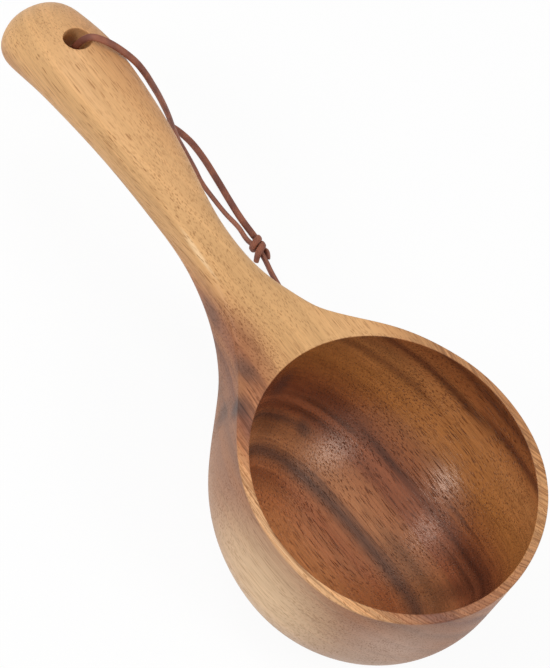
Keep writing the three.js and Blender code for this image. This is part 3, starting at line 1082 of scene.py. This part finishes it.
def by_layer(place, colours):
    """A colour for every growth layer, blended from each named layer to the next."""
    span = LAYER_HIGH - LAYER_LOW
    stops = [((number - LAYER_LOW) / span, tone) for number, tone in colours]
    return place.node("ShaderNodeValToRGB", ((place - LAYER_LOW) / span,), stops=stops)


frayed = layer + fine.swing() * FINE_FRAY + bold.swing() * BOLD_FRAY
streak_layer = layer + fine.swing() * STREAK_FRAY
hollow = by_layer(frayed, HOLLOW_LAYERS)
for centre, width, strength, tone, start, end in STREAKS:
    begins = x.step(start - STREAK_FADE, start + STREAK_FADE)
    ends = x.step(end + STREAK_FADE, end - STREAK_FADE)
    core = streak_layer.bell(centre, width)
    hollow = (core * begins * ends * strength).blend(hollow, tone)

# %% The paler outside, more orange on the rim and palest on the grip
GRIP_LAYER_SHIFT = 10
STAIN_FRAY = 0.5
STAIN_FADE = (1.0, 0.1)


def with_stains_and_painted_light(wood, stains_and_light):
    """A colour with soft stains, painted shade, painted sheen and a painted highlight on it, frayed along
    the fine lines.
    """
    for centre, reach, strength, tone in stains_and_light:
        offset = block.node("ShaderNodeVectorMath", (block, centre), operation="SUBTRACT")
        squeezed = offset.stretched(*(1 / side for side in reach))
        away = block.node("ShaderNodeVectorMath", (squeezed,), output="Value", operation="LENGTH")
        spread = (away + fine.swing() * STAIN_FRAY).step(*STAIN_FADE)
        wood = (spread * strength).blend(wood, tone)
    return wood


outer = by_layer(frayed + on_grip * GRIP_LAYER_SHIFT, OUTER_LAYERS)
outer = on_rim.blend(outer, by_layer(frayed, RIM_LAYERS))
# The stains add painted sheen and a painted highlight outside, and painted shade in the hollow
figure = inside.blend(with_stains_and_painted_light(outer, OUTER_STAINS_AND_LIGHT), with_stains_and_painted_light(hollow, HOLLOW_STAINS_AND_SHADE))
print("nodes with the colours:", len(wood_tree.tree.nodes))

# %% [markdown]
# ### Pores and fibres
# Pores are long thin tubes in the wood. A surface along the grain shows them as dashes, and one that cuts
# it shows dots. A painted dash would be a dash everywhere, but the cells of a Voronoi pattern, drawn out
# along the grain, are such tubes. They stand in crowds, and a few wide vessels lie between them.

# %% Tubes, dots and dashes
FIBRE_CREST = 150.0
FIBRE_LEVEL_FROM = -50.0
FIBRE_BEND = 0.0009
SPARSE_PORES = 0.35
CROWD_FADE = (0.34, 0.62)
PORE_EDGE = (0.34, 0.19)
VESSEL_EDGE = (0.22, 0.12)
DOT_EDGE = (0.40, 0.24)
DASH_EDGE = (0.47, 0.32)


def tubes(place, length, width):
    """How far a point is from the middle of its tube, for tubes of a length and a width."""
    cells = {"Vector": place.stretched(1 / length, 1 / width, 1 / width), "Scale": 1.0}
    return place.node("ShaderNodeTexVoronoi", cells)


from_crest = x.math("MINIMUM", FIBRE_LEVEL_FROM) + FIBRE_CREST
fibre_height = z - from_crest * from_crest * FIBRE_BEND
along_fibres = wood_tree.node("ShaderNodeCombineXYZ", (x, y, fibre_height))
crowd = blots(block, length=26, width=7).step(*CROWD_FADE) * (1 - SPARSE_PORES) + SPARSE_PORES
pores = tubes(along_fibres, length=12, width=0.55).step(*PORE_EDGE) * crowd
vessels = tubes(along_fibres, length=15, width=1.15).step(*VESSEL_EDGE)
dots = tubes(block, length=1.2, width=0.62).step(*DOT_EDGE)
fibres = blots(along_fibres, length=18, width=0.44, roughness=0.6)
dashes = fibres.step(*DASH_EDGE)

# %% Where the grain is open, cut across or speckled
END_GRAIN_FADE = (10, 40)
FLANK_SIDE_FADE = (-3, -8)
FLANK_START_FADE = (-60, -75)
SPECKLES_ALONG = (-62, 22)
SPECKLES_ACROSS = (-13, 12)
SPECKLE_FADE = (0.0, 0.35)

open_grain = inside + on_rim
end_grain = x.step(*END_GRAIN_FADE) * (1 - open_grain)
near_flank = y.step(*FLANK_SIDE_FADE) * x.step(*FLANK_START_FADE)
speckled = x.bell(*SPECKLES_ALONG) * y.bell(*SPECKLES_ACROSS) * (1 - open_grain)

# %% How dark each kind of mark is, and how much darker in such places
DASH, DASH_INSIDE = 0.3, 0.3
PORE, PORE_INSIDE, PORE_END_GRAIN = 0.55, 0.4, 0.35
VESSEL, VESSEL_OPEN_GRAIN, VESSEL_FLANK = 0.5, 0.3, 0.3
THIN_LINE = 0.4
RIM_LINE = 0.75
DOT = 0.8

marks = [
    dashes * (inside * DASH_INSIDE + DASH),
    pores * (inside * PORE_INSIDE + end_grain * PORE_END_GRAIN + PORE),
    vessels * (open_grain * VESSEL_OPEN_GRAIN + near_flank * VESSEL_FLANK + VESSEL),
    thin_lines * THIN_LINE,
    rim_lines * on_rim * RIM_LINE,
    dots * speckled.step(*SPECKLE_FADE) * DOT,
]
unmarked = 1 - marks[0]
for mark in marks[1:]:
    unmarked = unmarked * (1 - mark)
marked = 1 - unmarked
print("kinds of marks:", len(marks), "nodes with marks:", len(wood_tree.tree.nodes))

# %% [markdown]
# ### Colour, sheen and relief
# The lines shade the figure a little, and the marks darken it. In the oiled hollow the wood is smoother
# and its pores are darker. Pores this small would take millions of faces, so a bump sinks them and the
# thin lines into the surface and lets the fibres stand up.

# %% Acacia, oiled
FINE_SHADE, FINE_SHADE_RIM, FINE_SHADE_INSIDE = 0.13, 0.3, 0.1
FINE_SHADE_FADE = (0.28, 0.72)
BOLD_SHADE, BOLD_SHADE_LOW = 0.13, 0.935
BOLD_SHADE_FADE = (0.3, 0.7)
OUTER_PORE_TONE = (0.48, 0.37, 0.28)
HOLLOW_PORE_TONE = (0.34, 0.25, 0.20)
DRY_ROUGHNESS, OILED_SMOOTHER = 0.47, 0.22
DASH_ROUGHER, PORE_ROUGHER = 0.1, 0.2
FIBRE_RELIEF, THIN_LINE_RELIEF, RELIEF_INSIDE = 0.4, 0.3, 0.5
RELIEF_STRENGTH = 0.5
RELIEF_HEIGHT = 0.0002

fine_shade_here = on_rim * FINE_SHADE_RIM + inside * FINE_SHADE_INSIDE + FINE_SHADE
fine_shade = fine.step(*FINE_SHADE_FADE).swing() * fine_shade_here + 1
bold_shade = bold.step(*BOLD_SHADE_FADE) * BOLD_SHADE + BOLD_SHADE_LOW
lined = figure.scaled(fine_shade * bold_shade)
pore_tone = inside.blend(lined.stretched(*OUTER_PORE_TONE), lined.stretched(*HOLLOW_PORE_TONE))
connect(marked.blend(lined, pore_tone), wood_surface, "Base Color")

roughness = DRY_ROUGHNESS - inside * OILED_SMOOTHER + dashes * DASH_ROUGHER + pores * PORE_ROUGHER
connect(roughness, wood_surface, "Roughness")
relief = (fibres * FIBRE_RELIEF - pores) * (inside * RELIEF_INSIDE + 1) - thin_lines * THIN_LINE_RELIEF
bump = {"Strength": RELIEF_STRENGTH, "Distance": RELIEF_HEIGHT, "Height": relief}
connect(wood_tree.node("ShaderNodeBump", bump), wood_surface, "Normal")
ladle_wood.data.materials.append(acacia_wood)
print("nodes of the wood:", len(wood_tree.tree.nodes))

# %% [markdown]
# ## The leather
# The thong is cut from brown hide: a smooth face with a faint grain, and paler, fuzzier cut edges. A grain
# laid along the thong would need a map of its surface, but noise in space needs none. Only the cut edges
# follow the thong, and an attribute of its section tells where they are.

# %% Brown leather
LEATHER = colour(154, 92, 66)
LEATHER_DARK = colour(112, 62, 47)
LEATHER_EDGE = colour(168, 112, 88)
GRAIN_SCALE = 2600
GRAIN_FADE = (0.35, 0.7)
GRAIN_DARKER = 0.35
HIDE_PATCH_SCALE = 160
HIDE_PATCH_FADE = (0.35, 0.65)
CUT_EDGE_FADE = (0.55, 0.2)
CUT_EDGE_PALER = 0.5
LEATHER_ROUGHNESS = 0.5
GRAIN_ROUGHER = 0.25
GRAIN_RELIEF = 0.5
GRAIN_HEIGHT = 0.00015

brown_leather, hide_tree, hide_surface = new_material("brown_leather")
hide_place = hide_tree.node("ShaderNodeTexCoord", output="Object")
leather_grain = hide_place.noise(GRAIN_SCALE, detail=3.0, roughness=0.6)
hide_patches = hide_place.noise(HIDE_PATCH_SCALE, detail=2.0)
hide = hide_patches.step(*HIDE_PATCH_FADE).blend(LEATHER_DARK, LEATHER)
thong_side = hide_tree.node("ShaderNodeAttribute", output="Fac", attribute_name="side")
cut_edge = thong_side.math("SINE").math("ABSOLUTE").step(*CUT_EDGE_FADE)
hide = (cut_edge * CUT_EDGE_PALER).blend(hide, LEATHER_EDGE)
hide = (leather_grain.step(*GRAIN_FADE) * GRAIN_DARKER).blend(hide, LEATHER_DARK)
connect(hide, hide_surface, "Base Color")
connect(leather_grain * GRAIN_ROUGHER + LEATHER_ROUGHNESS, hide_surface, "Roughness")
hide_bump = {"Strength": GRAIN_RELIEF, "Distance": GRAIN_HEIGHT, "Height": leather_grain}
connect(hide_tree.node("ShaderNodeBump", hide_bump), hide_surface, "Normal")
for piece in (upper_lace, lower_lace, knot_lace):
    piece.data.materials.append(brown_leather)
print("nodes of the leather:", len(hide_tree.tree.nodes))

# %% [markdown]
# ## Floor and light
# The ladle stands on a white sweep. The floor is a plain pale surface that catches the shadow. A brighter
# lamp would whiten it and the ladle with it, so for rays that come from the camera, or that a shiny or
# clear surface sends on, the floor is lifted towards white, and the light on the ladle stays plain.

# %% Floor
FLOOR_SIZE = 6.0
FLOOR_LIFT = 0.93
FLOOR_COLOUR = (0.9, 0.9, 0.9, 1.0)
FLOOR_ROUGHNESS = 0.9
FLOOR_SHEEN = 0.1
WHITE = (1.0, 1.0, 1.0, 1.0)


def seen_rays(tree):
    """1 for rays from the camera and for those that a shiny or clear surface sends on, 0 for others."""
    kinds = ("Is Camera Ray", "Is Glossy Ray", "Is Transmission Ray")
    straight, glossy, through = (tree.node("ShaderNodeLightPath", output=kind) for kind in kinds)
    return straight.math("MAXIMUM", glossy).math("MAXIMUM", through)


bm = bmesh.new()
bmesh.ops.create_grid(bm, x_segments=1, y_segments=1, size=FLOOR_SIZE / 2)
floor_mesh = bpy.data.meshes.new("floor")
bm.to_mesh(floor_mesh)
bm.free()
floor = bpy.data.objects.new("floor", floor_mesh)
bpy.context.scene.collection.objects.link(floor)

floor_material, floor_tree, floor_surface = new_material("pale_floor")
floor_surface.inputs["Base Color"].default_value = FLOOR_COLOUR
floor_surface.inputs["Roughness"].default_value = FLOOR_ROUGHNESS
floor_surface.inputs["Specular IOR Level"].default_value = FLOOR_SHEEN
white = floor_tree.node("ShaderNodeEmission", {"Color": WHITE, "Strength": 1.0})
plain = Signal(floor_tree.tree, floor_surface.outputs["BSDF"])
lift = seen_rays(floor_tree) * FLOOR_LIFT
lifted = floor_tree.node("ShaderNodeMixShader", (lift, plain, white))
connect(lifted, floor_tree.tree.nodes["Material Output"], "Surface")
floor_mesh.materials.append(floor_material)
print("floor:", FLOOR_SIZE, "m across")

# %% Soft boxes, each with its direction, size and power, and a pale room
AMBIENT = 0.5
LIGHT_DISTANCE = 1.2
SOFT_BOXES = [
    ("key_light", (-0.32, -0.71, 0.63), 0.32, 4.4),
    ("handle_light", (-0.555, -0.095, 0.827), 0.30, 2.2),
    ("front_light", (0.62, 0.18, 0.763), 0.38, 3.4),
]
LIGHTS_AIM = Vector((-0.04, 0.0, 0.03))

for name, direction, size, power in SOFT_BOXES:
    light_data = bpy.data.lights.new(name, "AREA")
    light_data.shape = "SQUARE"
    light_data.size = size
    light_data.energy = power
    light = bpy.data.objects.new(name, light_data)
    towards = Vector(direction).normalized()
    light_turn = towards.to_track_quat("Z", "Y").to_matrix().to_4x4()
    light.matrix_world = Matrix.Translation(LIGHTS_AIM + towards * LIGHT_DISTANCE) @ light_turn
    bpy.context.scene.collection.objects.link(light)

world = bpy.data.worlds.new("pale_room")
world.use_nodes = True
bpy.context.scene.world = world
background = world.node_tree.nodes["Background"]
background.inputs["Color"].default_value = WHITE
room_strength = seen_rays(Signal(world.node_tree)) * (1 - AMBIENT) + AMBIENT
connect(room_strength, background, "Strength")
bpy.context.scene.view_settings.view_transform = "Standard"
print("lights:", len(SOFT_BOXES))
